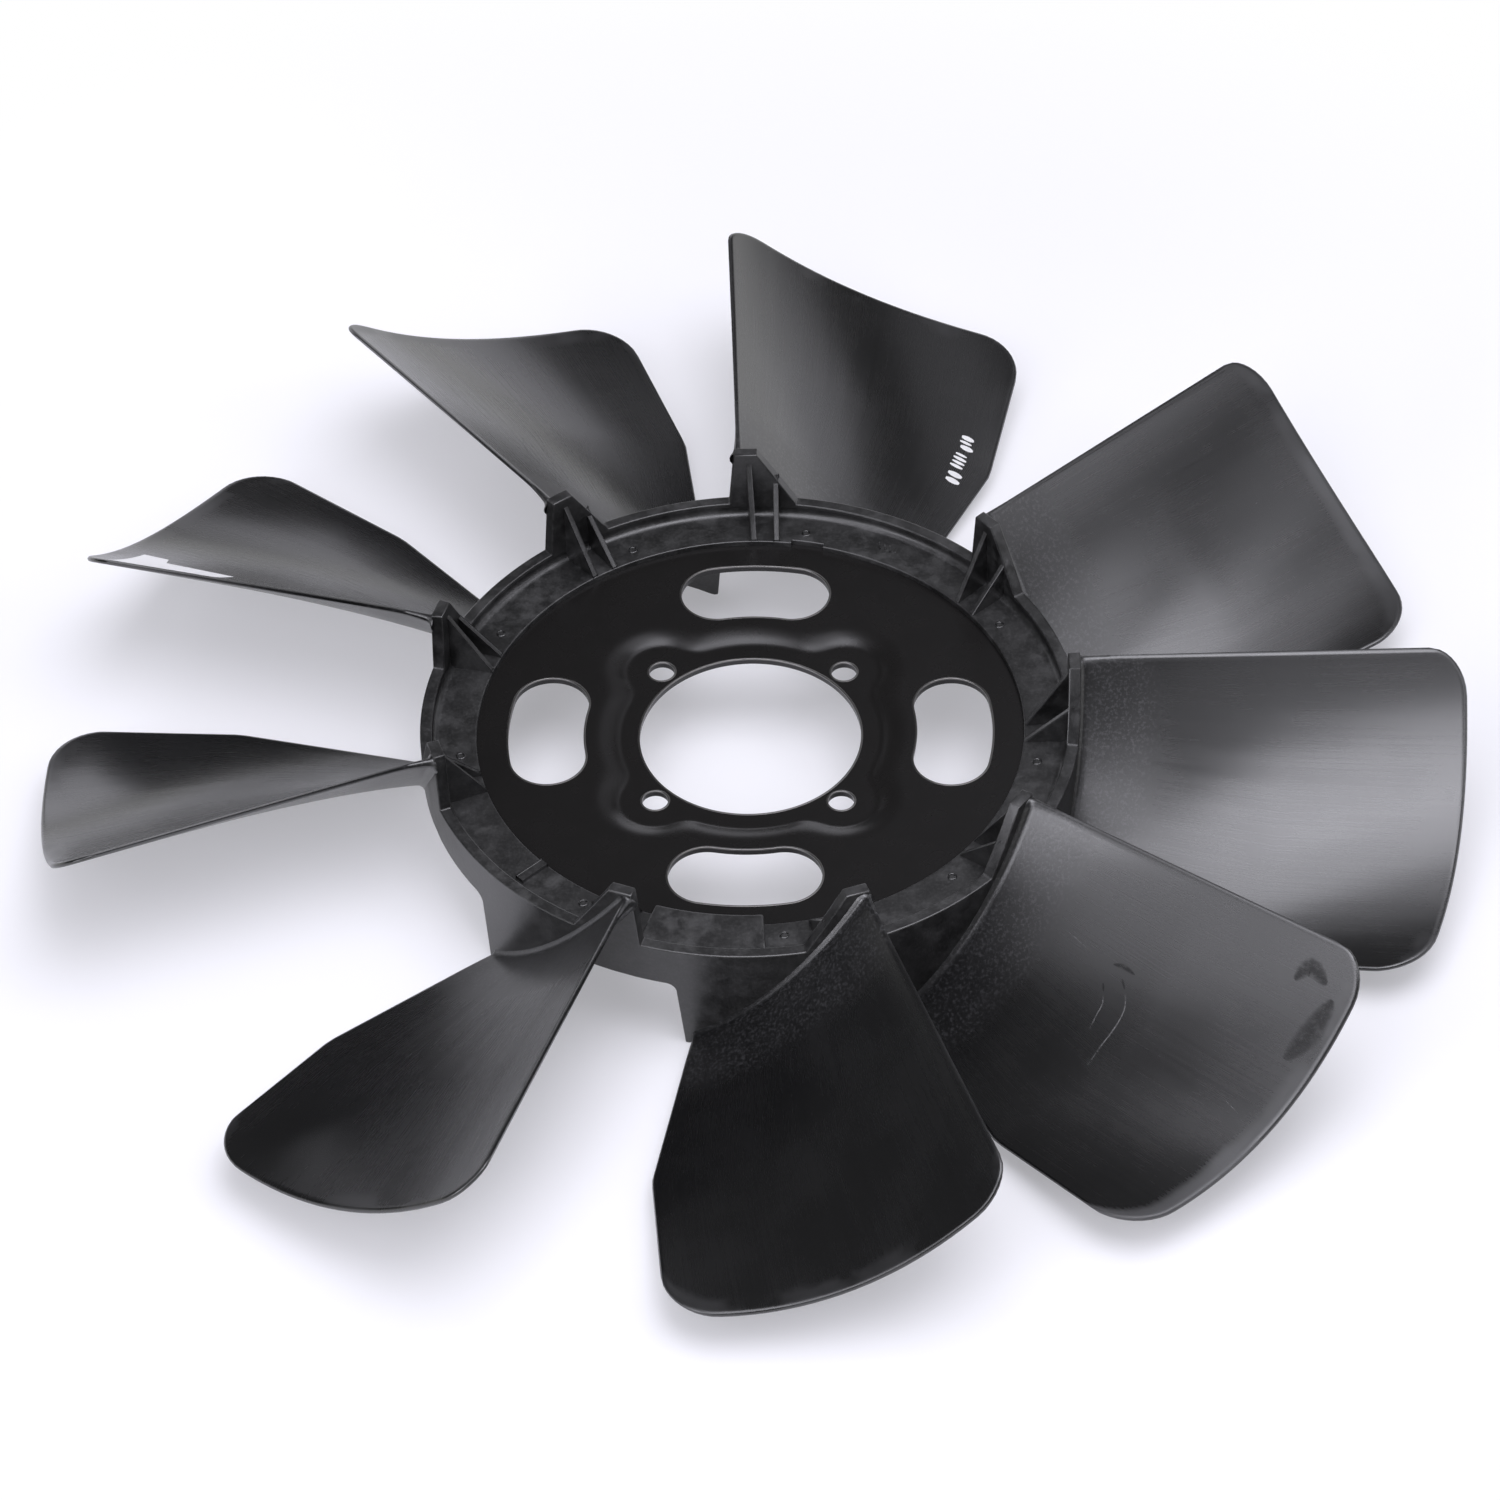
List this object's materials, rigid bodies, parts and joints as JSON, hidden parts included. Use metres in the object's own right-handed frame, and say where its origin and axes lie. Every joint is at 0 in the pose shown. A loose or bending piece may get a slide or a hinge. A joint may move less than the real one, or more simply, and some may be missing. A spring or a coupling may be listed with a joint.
{
  "type": "engine cooling fan blade",
  "caption": "Black engine cooling fan with unevenly spaced swept blades moulded in one with a ring round a pressed steel hub plate.",
  "frame": {"origin": "on the fan's axis, in the plane of the hub plate's lower face, which seats on the clutch", "axes": "+Z along the axis towards the side with the towers and the raised leading edges; +X and +Y pass through the middles of two curved slots, and the bolt holes stand at 45 degrees to them"},
  "size_m": [0.5035, 0.5035, 0.068],
  "materials": {
    "black_paint": "satin",
    "black_nylon": "satin"
  },
  "bodies": {
    "root": {"hub_plate": "black_paint", "moulded_fan": "black_nylon"}
  },
  "joints": []
}
